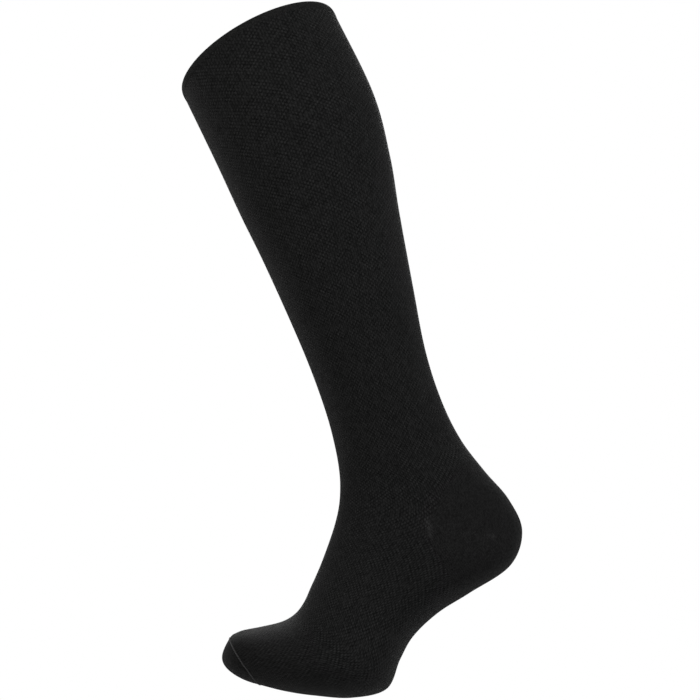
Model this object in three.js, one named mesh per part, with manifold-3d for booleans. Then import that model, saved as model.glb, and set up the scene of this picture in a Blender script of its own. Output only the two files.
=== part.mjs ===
// A knee-high compression stocking, filled out as it is on a leg that stands on tiptoe.
// Millimetres, +Z up. The origin is the middle of the top opening. The toes point to -X, the heel to +X,
// and the two sides mirror each other across the XZ plane.
// The stocking is one circular-knitted tube: a turned top edge, the leg, a turned heel pouch, the foot and
// a toe cap linked on at the end. One outer form is worked out for all of them from a table of sections,
// each knitted piece is a wall of its own thickness under that form, and straight cuts part the pieces.

import * as THREE from 'three';
import { mergeVertices } from 'three/addons/utils/BufferGeometryUtils.js';
import Module from 'manifold-3d';

const wasm = await Module();
wasm.setup();

// Cloth thickness, and the gap kept where two pieces meet.
const LEG_WALL = 1.4;
const BAND_WALL = 2.2;
const REINFORCED_WALL = 1.8;
const SEAM_GAP = 0.3;

// Height of the turned top edge, measured down the leg.
const BAND_HEIGHT = 6;

// How far the toe runs on past the last section, as a share of the step between the last two sections.
const TOE_RUN = 1.17;

// The toe seam, seen from the side, from the top of the toes to the sole.
const TOE_SEAM = [[-13.5, -439.5], [6.5, -469.5]];

// The heel pouch. Its three seams meet on each side at the gore corner, and leave it towards the shin,
// up towards the back of the ankle and down towards the sole. Each entry is a point [x, z] on that line.
const GORE_CORNER = [121, -368];
const TOWARDS_SHIN = [62, -357];
const TOWARDS_ANKLE = [155, -307];
const TOWARDS_SOLE = [146, -412.5];

// Rings between two sections, rings of the toe cap, and points round each ring.
const RINGS_PER_SECTION = 3;
const TOE_RINGS = 5;
const POINTS_ROUND = 32;

// The sections, from the top opening to the tips of the toes, ovals that stand across the leg or foot.
// front is its point [x, z] on the shin, instep or top of the toes, back its point on the calf, heel or
// sole. width is its size from side to side, widest tells where on the way from back to front it is
// widest, and square is the exponent of the superellipse that its back half follows.
const SECTIONS = [
  { at: 'top edge', front: [-58, -31], back: [58, 31], width: 125, widest: 0.5, square: 2 },
  { at: 'below the top', front: [-31.5, -86.5], back: [88, -35], width: 122, widest: 0.5, square: 2 },
  { at: 'calf', front: [-12, -129], back: [100.5, -85.5], width: 114, widest: 0.5, square: 2 },
  { at: 'lower calf', front: [5, -164], back: [107, -129], width: 103, widest: 0.5, square: 2 },
  { at: 'shin', front: [25.5, -209.5], back: [116.5, -185.5], width: 88, widest: 0.5, square: 2 },
  { at: 'above the ankle', front: [41, -246.5], back: [125, -233.5], width: 77, widest: 0.5, square: 2 },
  { at: 'ankle', front: [53, -280.5], back: [136, -270.5], width: 71, widest: 0.5, square: 2 },
  { at: 'ankle bend', front: [59.5, -305.5], back: [149.5, -299.5], width: 68, widest: 0.5, square: 2.05 },
  { at: 'top of the heel', front: [62.5, -323.5], back: [166.5, -323], width: 67, widest: 0.5, square: 2.2 },
  { at: 'upper heel', front: [63, -336.5], back: [183, -343], width: 67, widest: 0.5, square: 2.3 },
  { at: 'heel', front: [62, -348.5], back: [192, -365.5], width: 68, widest: 0.5, square: 2.4 },
  { at: 'under the heel', front: [59, -361.5], back: [183, -389.5], width: 68, widest: 0.49, square: 2.4 },
  { at: 'back of the arch', front: [54, -376.5], back: [154, -408.5], width: 69, widest: 0.46, square: 2.25 },
  { at: 'arch', front: [48.5, -391], back: [132, -422], width: 71, widest: 0.44, square: 2.2 },
  { at: 'instep', front: [42.5, -404.5], back: [114.5, -438], width: 77, widest: 0.42, square: 2.2 },
  { at: 'behind the ball', front: [38, -414.5], back: [105, -454], width: 85, widest: 0.4, square: 2.3 },
  { at: 'ball', front: [32, -422.5], back: [95.5, -474], width: 91, widest: 0.4, square: 2.3 },
  { at: 'ahead of the ball', front: [23, -428], back: [71.5, -480], width: 91, widest: 0.42, square: 2.3 },
  { at: 'toes', front: [9, -431.5], back: [45.5, -478.5], width: 86, widest: 0.45, square: 2.3 },
  { at: 'toe ends', front: [-4, -434], back: [25, -475.5], width: 78, widest: 0.48, square: 2.3 },
  { at: 'toe tips', front: [-10.5, -436.5], back: [4.5, -470.5], width: 66, widest: 0.5, square: 2.15 },
];
const LAST = SECTIONS.length - 1;

// Smooth curve through four neighbouring values, between the second and the third.
function between(a, b, c, d, share) {
  const bend = 2 * a - 5 * b + 4 * c - d;
  const twist = 3 * b - a - 3 * c + d;
  return 0.5 * (2 * b + (c - a) * share + bend * share ** 2 + twist * share ** 3);
}

// The section at a station from 0, the top edge, to LAST, the tips of the toes, with shares of a row between.
function sectionOnLeg(station) {
  const row = Math.min(Math.floor(station), LAST - 1);
  const blend = (read) => {
    const b = read(SECTIONS[row]);
    const c = read(SECTIONS[row + 1]);
    const a = row > 0 ? read(SECTIONS[row - 1]) : 2 * b - c;
    const d = row + 2 <= LAST ? read(SECTIONS[row + 2]) : 2 * c - b;
    return between(a, b, c, d, station - row);
  };
  return {
    front: [blend((section) => section.front[0]), blend((section) => section.front[1])],
    back: [blend((section) => section.back[0]), blend((section) => section.back[1])],
    width: blend((section) => section.width),
    widest: blend((section) => section.widest),
    square: blend((section) => section.square),
  };
}

// The section at a station past the last one, up to LAST + 1 at the end of the toe. It runs on along the last
// step between two sections by a quarter sine, and the cosine of the same turn draws it in to round the toe.
function sectionOnToe(station) {
  const turn = (station - LAST) * Math.PI / 2;
  const run = Math.sin(turn) * TOE_RUN;
  const size = Math.cos(turn);
  const ahead = (read) => read(SECTIONS[LAST]) * (1 + run) - read(SECTIONS[LAST - 1]) * run;
  const front = [0, 1].map((axis) => ahead((section) => section.front[axis]));
  const back = [0, 1].map((axis) => ahead((section) => section.back[axis]));
  const middle = [0, 1].map((axis) => (front[axis] + back[axis]) / 2);
  const drawnIn = (end) => end.map((value, axis) => middle[axis] + (value - middle[axis]) * size);
  return {
    ...SECTIONS[LAST],
    front: drawnIn(front),
    back: drawnIn(back),
    width: ahead((section) => section.width) * size,
  };
}

// A point of the outer form. The angle runs from 0 at the front, past +Y, to 180 degrees at the back.
function outerPoint(station, angle) {
  const section = station <= LAST ? sectionOnLeg(station) : sectionOnToe(station);
  const forward = Math.cos(angle);
  const sideways = Math.sin(angle);
  const power = forward >= 0 ? 1 : 2 / section.square;
  const half = forward >= 0 ? 1 - section.widest : section.widest;
  const along = section.widest + Math.sign(forward) * Math.abs(forward) ** power * half;
  return new THREE.Vector3(
    section.back[0] + (section.front[0] - section.back[0]) * along,
    Math.sign(sideways) * Math.abs(sideways) ** power * section.width / 2,
    section.back[1] + (section.front[1] - section.back[1]) * along,
  );
}

// The same point moved in by the cloth's thickness, square to the outer form.
function innerPoint(station, angle, wall) {
  const step = 0.01;
  const round = outerPoint(station, angle + step).sub(outerPoint(station, angle - step));
  const low = Math.max(station - step, 0);
  const down = outerPoint(station + step, angle).sub(outerPoint(low, angle));
  const outward = round.cross(down).normalize();
  return outerPoint(station, angle).addScaledVector(outward, -wall);
}

// The stations of all rings, from the top edge to just before the tip of the toe.
function ringStations() {
  const stations = [];
  for (let i = 0; i <= LAST * RINGS_PER_SECTION; i += 1) stations.push(i / RINGS_PER_SECTION);
  for (let i = 1; i <= TOE_RINGS; i += 1) stations.push(LAST + i / (TOE_RINGS + 1));
  return stations;
}

// The whole stocking as a closed wall: outer and inner skins, joined round the opening and shut at the toe.
function wholeWall(wall) {
  const stations = ringStations();
  const rings = stations.length;
  const inside = rings * POINTS_ROUND;
  const points = [];
  for (const skin of ['outer', 'inner']) {
    for (const station of stations) {
      for (let j = 0; j < POINTS_ROUND; j += 1) {
        const angle = (j / POINTS_ROUND) * Math.PI * 2;
        points.push(skin === 'outer' ? outerPoint(station, angle) : innerPoint(station, angle, wall));
      }
    }
  }
  const tip = outerPoint(LAST + 1, 0);
  const toeMiddle = outerPoint(LAST, 0).add(outerPoint(LAST, Math.PI)).multiplyScalar(0.5);
  const backFromTip = toeMiddle.sub(tip).setLength(wall);
  const outerTip = points.push(tip) - 1;
  const innerTip = points.push(tip.clone().add(backFromTip)) - 1;

  const faces = [];
  const end = (rings - 1) * POINTS_ROUND;
  for (let j = 0; j < POINTS_ROUND; j += 1) {
    const next = (j + 1) % POINTS_ROUND;
    for (let i = 0; i < rings - 1; i += 1) {
      const here = i * POINTS_ROUND;
      const below = here + POINTS_ROUND;
      faces.push([here + j, here + next, below + j], [here + next, below + next, below + j]);
      faces.push([inside + here + j, inside + below + j, inside + here + next]);
      faces.push([inside + here + next, inside + below + j, inside + below + next]);
    }
    faces.push([j, inside + j, next], [inside + j, inside + next, next]);
    faces.push([end + j, end + next, outerTip], [inside + end + j, innerTip, inside + end + next]);
  }

  const geometry = new THREE.BufferGeometry().setFromPoints(points);
  geometry.setIndex(faces.flat());
  return geometry;
}

// A closed three.js shape as a solid that can be cut.
function solidOf(geometry) {
  const bare = geometry.clone();
  bare.deleteAttribute('normal');
  bare.deleteAttribute('uv');
  const merged = mergeVertices(bare, 1e-4);
  return new wasm.Manifold(new wasm.Mesh({
    numProp: 3,
    vertProperties: Float32Array.from(merged.attributes.position.array),
    triVerts: Uint32Array.from(merged.index.array),
  }));
}

// A cut solid back as a three.js shape.
function geometryOf(solid) {
  const mesh = solid.getMesh();
  const geometry = new THREE.BufferGeometry();
  geometry.setAttribute('position', new THREE.BufferAttribute(Float32Array.from(mesh.vertProperties), 3));
  geometry.setIndex(Array.from(mesh.triVerts));
  const flat = geometry.toNonIndexed();
  flat.computeVertexNormals();
  return flat;
}

// A seam seen from the side: the line from one point to another. What is kept lies on its left, half a
// seam gap away.
function seam(from, to) {
  const start = new THREE.Vector2(...from);
  const direction = new THREE.Vector2(...to).sub(start).normalize();
  const left = new THREE.Vector2(-direction.y, direction.x);
  return { start: start.addScaledVector(left, SEAM_GAP / 2), direction, left };
}

// A wide block, seen from the side as the area to the left of every one of its seams. It starts as a
// square that holds the whole stocking, and each seam cuts it down.
function blockBeside(...seams) {
  const reach = 1000;
  const depth = 400;
  let corners = [[-reach, -reach], [reach, -reach], [reach, reach], [-reach, reach]];
  corners = corners.map(([x, z]) => new THREE.Vector2(x, z));
  for (const line of seams) {
    const side = (point) => point.clone().sub(line.start).dot(line.left);
    const kept = [];
    corners.forEach((point, i) => {
      const next = corners[(i + 1) % corners.length];
      const here = side(point);
      const there = side(next);
      if (here >= 0) kept.push(point);
      if (here * there < 0) kept.push(point.clone().lerp(next, here / (here - there)));
    });
    corners = kept;
  }
  const block = new THREE.ExtrudeGeometry(new THREE.Shape(corners), { depth, bevelEnabled: false });
  return block.translate(0, 0, -depth / 2).rotateX(Math.PI / 2);
}

// The line under the turned edge, from its front end to its back end: the top edge moved down along the shin.
const topEdge = SECTIONS[0];
const shinRun = [0, 1].map((axis) => SECTIONS[1].front[axis] - topEdge.front[axis]);
const shinLength = Math.hypot(...shinRun);
const underBand = (end) => end.map((value, axis) => value + shinRun[axis] / shinLength * BAND_HEIGHT);
const bandFront = underBand(topEdge.front);
const bandBack = underBand(topEdge.back);

// Each knitted piece: its wall, and the seams that it lies to the left of.
const PIECES = [
  { name: 'top_band', wall: BAND_WALL, seams: [seam(bandFront, bandBack)] },
  {
    name: 'leg',
    wall: LEG_WALL,
    seams: [
      seam(bandBack, bandFront),
      seam(TOWARDS_SHIN, GORE_CORNER),
      seam(GORE_CORNER, TOWARDS_ANKLE),
    ],
  },
  {
    name: 'heel_pouch',
    wall: REINFORCED_WALL,
    seams: [
      seam(TOWARDS_ANKLE, GORE_CORNER),
      seam(GORE_CORNER, TOWARDS_SOLE),
    ],
  },
  {
    name: 'foot',
    wall: LEG_WALL,
    seams: [
      seam(TOWARDS_SOLE, GORE_CORNER),
      seam(GORE_CORNER, TOWARDS_SHIN),
      seam(...TOE_SEAM),
    ],
  },
  { name: 'toe_cap', wall: REINFORCED_WALL, seams: [seam(...TOE_SEAM.toReversed())] },
];

// Matte charcoal yarn, a little denser where the edge is turned and where heel and toe are reinforced.
const YARN = new THREE.MeshStandardMaterial({ color: 0x1b1b1a, roughness: 0.92, metalness: 0 });
const DENSE_YARN = new THREE.MeshStandardMaterial({ color: 0x181817, roughness: 0.9, metalness: 0 });

// One piece cut out of the whole wall.
function knittedPiece({ name, wall, seams }) {
  const solid = solidOf(wholeWall(wall)).intersect(solidOf(blockBeside(...seams)));
  const mesh = new THREE.Mesh(geometryOf(solid), wall === LEG_WALL ? YARN : DENSE_YARN);
  mesh.name = name;
  return mesh;
}

const stocking = new THREE.Group();
for (const piece of PIECES) stocking.add(knittedPiece(piece));

export default stocking;
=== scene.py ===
"""Dresses a knee-high compression stocking, filled out on tiptoe with its top open.

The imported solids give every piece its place. A stocking like this is one circular-knitted tube, so its
pieces share one outer form, worked out from a table of oval sections, and they part along the same seam
lines as the solids. Metres, +Z up, toes to -X, heel to +X, and the sides mirror across the XZ plane.
"""

from __future__ import annotations

import logging
import math
from dataclasses import dataclass, field, replace
from enum import Enum
from typing import NamedTuple

import bpy
import numpy as np
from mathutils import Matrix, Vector

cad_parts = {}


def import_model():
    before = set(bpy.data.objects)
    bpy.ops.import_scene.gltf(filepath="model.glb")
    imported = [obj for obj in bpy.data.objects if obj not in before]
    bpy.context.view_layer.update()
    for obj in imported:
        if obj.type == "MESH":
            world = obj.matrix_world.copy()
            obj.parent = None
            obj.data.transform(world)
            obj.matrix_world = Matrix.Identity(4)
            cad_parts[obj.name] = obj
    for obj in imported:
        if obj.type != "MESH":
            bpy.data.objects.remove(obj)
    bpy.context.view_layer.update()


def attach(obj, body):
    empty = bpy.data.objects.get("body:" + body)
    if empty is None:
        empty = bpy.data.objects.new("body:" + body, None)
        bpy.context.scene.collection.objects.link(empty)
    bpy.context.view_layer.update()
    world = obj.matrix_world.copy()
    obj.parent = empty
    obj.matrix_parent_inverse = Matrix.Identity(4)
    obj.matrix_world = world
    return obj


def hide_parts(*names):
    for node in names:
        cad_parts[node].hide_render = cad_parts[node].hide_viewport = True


LOG = logging.getLogger("stocking")

Point = tuple[float, float]
Place = tuple[float, float, float]
Colour = tuple[float, float, float]


class Section(NamedTuple):
    """One oval across the leg or the foot.

    front is its point (x, z) on the shin, instep or top of the toes, and back its point on the calf, heel or
    sole. width is its size from side to side, widest tells where on the way from back to front it is widest,
    and square is the exponent of the superellipse that its back half follows.
    """

    at: str
    front: Point
    back: Point
    width: float
    widest: float
    square: float


SECTIONS = (
    Section("top edge", (-0.058, -0.031), (0.058, 0.031), 0.125, 0.5, 2.0),
    Section("below the top", (-0.0315, -0.0865), (0.088, -0.035), 0.122, 0.5, 2.0),
    Section("calf", (-0.012, -0.129), (0.1005, -0.0855), 0.114, 0.5, 2.0),
    Section("lower calf", (0.005, -0.164), (0.107, -0.129), 0.103, 0.5, 2.0),
    Section("shin", (0.0255, -0.2095), (0.1165, -0.1855), 0.088, 0.5, 2.0),
    Section("above the ankle", (0.041, -0.2465), (0.125, -0.2335), 0.077, 0.5, 2.0),
    Section("ankle", (0.053, -0.2805), (0.136, -0.2705), 0.071, 0.5, 2.0),
    Section("ankle bend", (0.0595, -0.3055), (0.1495, -0.2995), 0.068, 0.5, 2.05),
    Section("top of the heel", (0.0625, -0.3235), (0.1665, -0.323), 0.067, 0.5, 2.2),
    Section("upper heel", (0.063, -0.3365), (0.183, -0.343), 0.067, 0.5, 2.3),
    Section("heel", (0.062, -0.3485), (0.192, -0.3655), 0.068, 0.5, 2.4),
    Section("under the heel", (0.059, -0.3615), (0.183, -0.3895), 0.068, 0.49, 2.4),
    Section("back of the arch", (0.054, -0.3765), (0.154, -0.4085), 0.069, 0.46, 2.25),
    Section("arch", (0.0485, -0.391), (0.132, -0.422), 0.071, 0.44, 2.2),
    Section("instep", (0.0425, -0.4045), (0.1145, -0.438), 0.077, 0.42, 2.2),
    Section("behind the ball", (0.038, -0.4145), (0.105, -0.454), 0.085, 0.4, 2.3),
    Section("ball", (0.032, -0.4225), (0.0955, -0.474), 0.091, 0.4, 2.3),
    Section("ahead of the ball", (0.023, -0.428), (0.0715, -0.48), 0.091, 0.42, 2.3),
    Section("toes", (0.009, -0.4315), (0.0455, -0.4785), 0.086, 0.45, 2.3),
    Section("toe ends", (-0.004, -0.434), (0.025, -0.4755), 0.078, 0.48, 2.3),
    Section("toe tips", (-0.0105, -0.4365), (0.0045, -0.4705), 0.066, 0.5, 2.15),
)

# How far the toe runs on past the last section, as a share of the step between the last two sections.
TOE_RUN = 1.17
# The toe seam, from the top of the toes to the sole. At the sides it bows ahead by a share of a station.
TOE_SEAM = ((-0.0135, -0.4395), (0.0065, -0.4695))
TOE_SEAM_BOW = 0.033

# Cloth thickness, as in the solids.
LEG_WALL = 0.0014
BAND_WALL = 0.0022
REINFORCED_WALL = 0.0018

# Height of the turned top edge, and how far its outer side stands proud of the leg below it.
BAND_HEIGHT = 0.006
BAND_PROUD = 0.0003

# The seams of the heel pouch meet at the gore corner. Each other entry is a point (x, z) on one of them.
GORE_CORNER = (0.121, -0.368)
TOWARDS_SHIN = (0.062, -0.357)
TOWARDS_ANKLE = (0.155, -0.307)
TOWARDS_SOLE = (0.146, -0.4125)
TOWARDS_HEEL = (0.192, -0.3732)

# The knit: ribs all round the tube, and the height of one course.
RIBS_ROUND = 180
COURSE = 0.0015

# Edges that bend by more than this are shaded as sharp.
SHARP_BEND = math.radians(55)


@dataclass(frozen=True)
class SeamLine:
    """A seam seen from the side, a straight line from one point (x, z) to another.

    Every column of the knit crosses it once between two stations, one above it and one below it.
    """

    start: Point
    end: Point
    above: float
    below: float

    def left_of(self, points: np.ndarray) -> np.ndarray:
        """Signed distance from the line, positive on its left.

        The formula is the cross product of the line's unit direction and the way from its start.

        Args:
            points: Points (x, y, z) in any array whose last axis is 3 long.

        Returns:
            One distance for each point.
        """
        run = np.subtract(self.end, self.start)
        run = run / np.hypot(*run)
        way = points[..., [0, 2]] - np.asarray(self.start)
        return run[0] * way[..., 1] - run[1] * way[..., 0]


SHIN_SEAM = SeamLine(TOWARDS_SHIN, GORE_CORNER, 8.5, 12.0)
ANKLE_SEAM = SeamLine(GORE_CORNER, TOWARDS_ANKLE, 5.5, 12.0)
SOLE_SEAM = SeamLine(GORE_CORNER, TOWARDS_SOLE, 9.0, 14.0)
GORE_LINE = SeamLine(GORE_CORNER, TOWARDS_HEEL, 8.5, 12.5)
TOE_LINE = SeamLine(*TOE_SEAM, 18.3, 20.95)


class StockingForm:
    """The outer form of the whole stocking, by station along it and angle round it.

    A station is a row number of the table with shares of a row between, and past the last row it goes on to
    the tip of the toe at one more. The angle is 0 at the front, a quarter turn at +Y and half a turn at the
    back.
    """

    def __init__(self, sections: tuple[Section, ...]) -> None:
        """Keeps the table, with one extended row before it and one after.

        Args:
            sections: The ovals from the top edge to the tips of the toes.
        """
        rows = np.array([(*row.front, *row.back, row.width, row.widest, row.square) for row in sections])
        self.table = np.vstack([2 * rows[0] - rows[1], rows, 2 * rows[-1] - rows[-2]])
        self.last = len(rows) - 1
        self.tip = float(self.last + 1)
        self.last_step = rows[-1] - rows[-2]
        self._measure()
        self.gore_angle = self._gore_corner_angle()

    def _values(self, station: np.ndarray) -> np.ndarray:
        """The table's values at each station, on a smooth curve through four neighbouring rows."""
        row = np.clip(np.floor(station), 0, self.last - 1).astype(int)
        share = (station - row)[..., None]
        a, b, c, d = (self.table[row + step] for step in range(4))
        bend = 2 * a - 5 * b + 4 * c - d
        twist = 3 * b - a - 3 * c + d
        return 0.5 * (2 * b + (c - a) * share + bend * share**2 + twist * share**3)

    def points(self, station: np.ndarray, angle: np.ndarray) -> np.ndarray:
        """Points of the form.

        Across a section the front half is half an ellipse and the back half half a superellipse. Past the
        last row the sections run on along the last step by a quarter sine, and the cosine of the same turn
        draws them in to round the toe.

        Args:
            station: Stations, in any shape that goes with angle.
            angle: Angles in radians.

        Returns:
            Points (x, y, z) on the last axis.
        """
        station, angle = np.broadcast_arrays(np.asarray(station, float), np.asarray(angle, float))
        values = self._values(np.minimum(station, self.last))
        turn = np.clip(station - self.last, 0, 1)[..., None] * math.pi / 2
        values[..., :5] += np.sin(turn) * TOE_RUN * self.last_step[:5]
        size = np.cos(turn)
        middle = (values[..., 0:2] + values[..., 2:4]) / 2
        front = middle + (values[..., 0:2] - middle) * size
        back = middle + (values[..., 2:4] - middle) * size
        width, widest, square = values[..., 4] * size[..., 0], values[..., 5], values[..., 6]
        forward, sideways = np.cos(angle), np.sin(angle)
        rear = forward < 0
        power = np.where(rear, 2 / square, 1.0)
        half = np.where(rear, widest, 1 - widest)
        along = (widest + np.sign(forward) * np.abs(forward) ** power * half)[..., None]
        side = np.sign(sideways) * np.abs(sideways) ** power * width / 2
        flat = back + (front - back) * along
        return np.stack([flat[..., 0], side, flat[..., 1]], axis=-1)

    def normals(self, station: np.ndarray, angle: np.ndarray) -> np.ndarray:
        """Outward unit normals: the cross product of the steps round the form and down it."""
        step = 0.01
        station = np.clip(station, step, self.tip - step)
        across = self.points(station, angle + step) - self.points(station, angle - step)
        down = self.points(station + step, angle) - self.points(station - step, angle)
        outward = np.cross(across, down)
        return outward / np.linalg.norm(outward, axis=-1, keepdims=True)

    def _measure(self) -> None:
        """Measures the form on a fine net: each point's share of the half girth, and the run down to it."""
        self.net_stations = np.linspace(0, self.tip - 0.02, 421)
        self.net_angles = np.linspace(0, math.pi, 181)
        net = self.points(self.net_stations[:, None], self.net_angles[None, :])
        round_steps = np.linalg.norm(np.diff(net, axis=1), axis=2)
        rounds = np.pad(np.cumsum(round_steps, axis=1), ((0, 0), (1, 0)))
        self.net_shares = rounds / rounds[:, -1:]
        down_steps = np.linalg.norm(np.diff(net, axis=0), axis=2).mean(axis=1)
        self.net_runs = np.pad(np.cumsum(down_steps), (1, 0))

    def rib_number(self, station: np.ndarray, angle: np.ndarray) -> np.ndarray:
        """Number of the rib at each point, from 0 at the front, past +Y, to the whole count there again.

        It is the share of the girth at that station, read from the fine net between its four neighbours.

        Args:
            station: Stations of the points.
            angle: Angles from 0 to a whole turn.

        Returns:
            The rib numbers, with shares of a rib.
        """
        station, angle = np.broadcast_arrays(np.asarray(station, float), np.asarray(angle, float))
        far = angle > math.pi
        folded = np.where(far, 2 * math.pi - angle, angle)
        row = np.interp(station, self.net_stations, np.arange(len(self.net_stations)))
        column = folded / math.pi * (len(self.net_angles) - 1)
        i = np.clip(np.floor(row), 0, len(self.net_stations) - 2).astype(int)
        j = np.clip(np.floor(column), 0, len(self.net_angles) - 2).astype(int)
        s, t = row - i, column - j
        above = self.net_shares[i, j] * (1 - t) + self.net_shares[i, j + 1] * t
        below = self.net_shares[i + 1, j] * (1 - t) + self.net_shares[i + 1, j + 1] * t
        ribs = (above * (1 - s) + below * s) * RIBS_ROUND / 2
        return np.where(far, RIBS_ROUND - ribs, ribs)

    def run_down(self, station: np.ndarray) -> np.ndarray:
        """Mean distance along the form from the top edge down to each station."""
        return np.interp(station, self.net_stations, self.net_runs)

    def station_on(self, line: SeamLine, angle: np.ndarray) -> np.ndarray:
        """The station at which each column meets a seam line, by halving the range between its two stations.

        Args:
            line: The seam.
            angle: The columns' angles.

        Returns:
            One station for each column.
        """
        upper = np.full_like(angle, line.above)
        lower = np.full_like(angle, line.below)
        side_above = np.sign(line.left_of(self.points(upper, angle)))
        for _ in range(40):
            middle = (upper + lower) / 2
            above = np.sign(line.left_of(self.points(middle, angle))) == side_above
            upper = np.where(above, middle, upper)
            lower = np.where(above, lower, middle)
        return (upper + lower) / 2

    def _gore_corner_angle(self) -> float:
        """The angle, on the +Y side, of the point of the shin seam that lies at the gore corner."""
        angles = np.linspace(0.3, math.pi - 0.6, 2001)
        stations = self.station_on(replace(SHIN_SEAM, above=9.0), angles)
        return float(np.interp(GORE_CORNER[0], self.points(stations, angles)[:, 0], angles))

    def heel_line(self, angle: np.ndarray, behind: SeamLine) -> np.ndarray:
        """The stations of the line between the heel and a tube.

        Args:
            angle: The columns' angles.
            behind: The seam behind the gore corners. In front of them it is the shin seam.

        Returns:
            One station for each column.
        """
        at_back = np.abs(angle - math.pi) < math.pi - self.gore_angle
        return np.where(at_back, self.station_on(behind, angle), self.station_on(SHIN_SEAM, angle))

    def column_angles(self, front_half: int = 62, back: int = 112) -> np.ndarray:
        """Angles from 0 to a whole turn, with one column exactly at each gore corner.

        Args:
            front_half: Steps from the front to a gore corner.
            back: Steps from one gore corner round the back to the other.

        Returns:
            The angles, both ends included.
        """
        whole = 2 * math.pi
        near = np.linspace(0, self.gore_angle, front_half + 1)
        rear = np.linspace(self.gore_angle, whole - self.gore_angle, back + 1)[1:-1]
        return np.concatenate([near, rear, whole - near[::-1]])


class Skin(Enum):
    """The material slots of a knitted piece."""

    FACE = 0
    INSIDE = 1


@dataclass(frozen=True)
class FaceBlock:
    """Faces that share a number of corners and a material slot.

    corners holds vertex numbers, one row for each face, and uv the rib and course number at each corner.
    """

    corners: np.ndarray
    uv: np.ndarray
    skin: Skin


def grid_corners(rows: int, columns: int, shut: bool) -> np.ndarray:
    """Vertex numbers of a grid's quads, which face outwards where rows run down and columns round.

    Args:
        rows: Rows of vertices.
        columns: Columns of vertices.
        shut: Whether the last column joins the first.

    Returns:
        The corners, one row of four for each quad.
    """
    numbers = np.arange(rows * columns).reshape(rows, columns)
    if shut:
        numbers = np.hstack([numbers, numbers[:, :1]])
    return quads_of(numbers)


def quads_of(values: np.ndarray) -> np.ndarray:
    """The four neighbours round each cell of a grid, in the order of a quad's corners."""
    around = (values[:-1, :-1], values[:-1, 1:], values[1:, 1:], values[1:, :-1])
    stacked = np.stack(around, axis=2)
    return stacked.reshape(-1, 4, *values.shape[2:])


def mesh_object(name: str, points: np.ndarray, blocks: list[FaceBlock]) -> bpy.types.Object:
    """Puts points and faces into a new smooth-shaded object at the origin, sharp only at its rims.

    Args:
        name: Name of the object.
        points: Vertices, one row each.
        blocks: The faces.

    Returns:
        The object, linked to the scene.
    """
    mesh = bpy.data.meshes.new(name)
    corners = np.concatenate([block.corners.ravel() for block in blocks])
    sizes = np.concatenate([np.full(len(block.corners), block.corners.shape[1]) for block in blocks])
    skins = np.concatenate([np.full(len(block.corners), block.skin.value) for block in blocks])
    uv = np.concatenate([block.uv.reshape(-1, 2) for block in blocks])
    mesh.vertices.add(len(points))
    mesh.vertices.foreach_set("co", points.astype(np.float32).ravel())
    mesh.loops.add(len(corners))
    mesh.loops.foreach_set("vertex_index", corners.astype(np.int32))
    mesh.polygons.add(len(sizes))
    mesh.polygons.foreach_set("loop_start", np.pad(np.cumsum(sizes)[:-1], (1, 0)).astype(np.int32))
    mesh.polygons.foreach_set("material_index", skins.astype(np.int32))
    layer = mesh.uv_layers.new(name="knit")
    layer.data.foreach_set("uv", uv.astype(np.float32).ravel())
    mesh.update(calc_edges=True)
    mesh.validate()
    mesh.shade_smooth()
    mesh.set_sharp_from_angle(angle=SHARP_BEND)
    piece = bpy.data.objects.new(name, mesh)
    bpy.context.scene.collection.objects.link(piece)
    return piece


@dataclass
class KnitGrid:
    """A stretch of the tube as a grid: rows down the tube, columns round it.

    station and angle place it on the form, rib and course number its stitches, and thickness is the cloth's.
    """

    station: np.ndarray
    angle: np.ndarray
    rib: np.ndarray
    course: np.ndarray
    thickness: float

    def uv(self) -> np.ndarray:
        """Rib and course number of every grid point, on the last axis."""
        return np.stack([self.rib, self.course], axis=2)


def rim_between(outer: np.ndarray, inner: np.ndarray, uv: np.ndarray, shut: bool) -> FaceBlock:
    """A strip of quads that joins the edge of the outer skin to the same edge of the inner one.

    Args:
        outer: Vertex numbers along the outer edge, with the outer skin on the left of the way along it.
        inner: The inner edge's numbers, in the same order.
        uv: Rib and course number along the edge, one more than outer has where the edge is shut.
        shut: Whether the end of the edge joins its start.

    Returns:
        The strip.
    """
    if shut:
        outer = np.append(outer, outer[0])
        inner = np.append(inner, inner[0])
    corners = np.stack([outer[:-1], inner[:-1], inner[1:], outer[1:]], axis=1)
    spots = np.stack([uv[:-1], uv[:-1], uv[1:], uv[1:]], axis=1)
    return FaceBlock(corners, spots, Skin.FACE)


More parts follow.
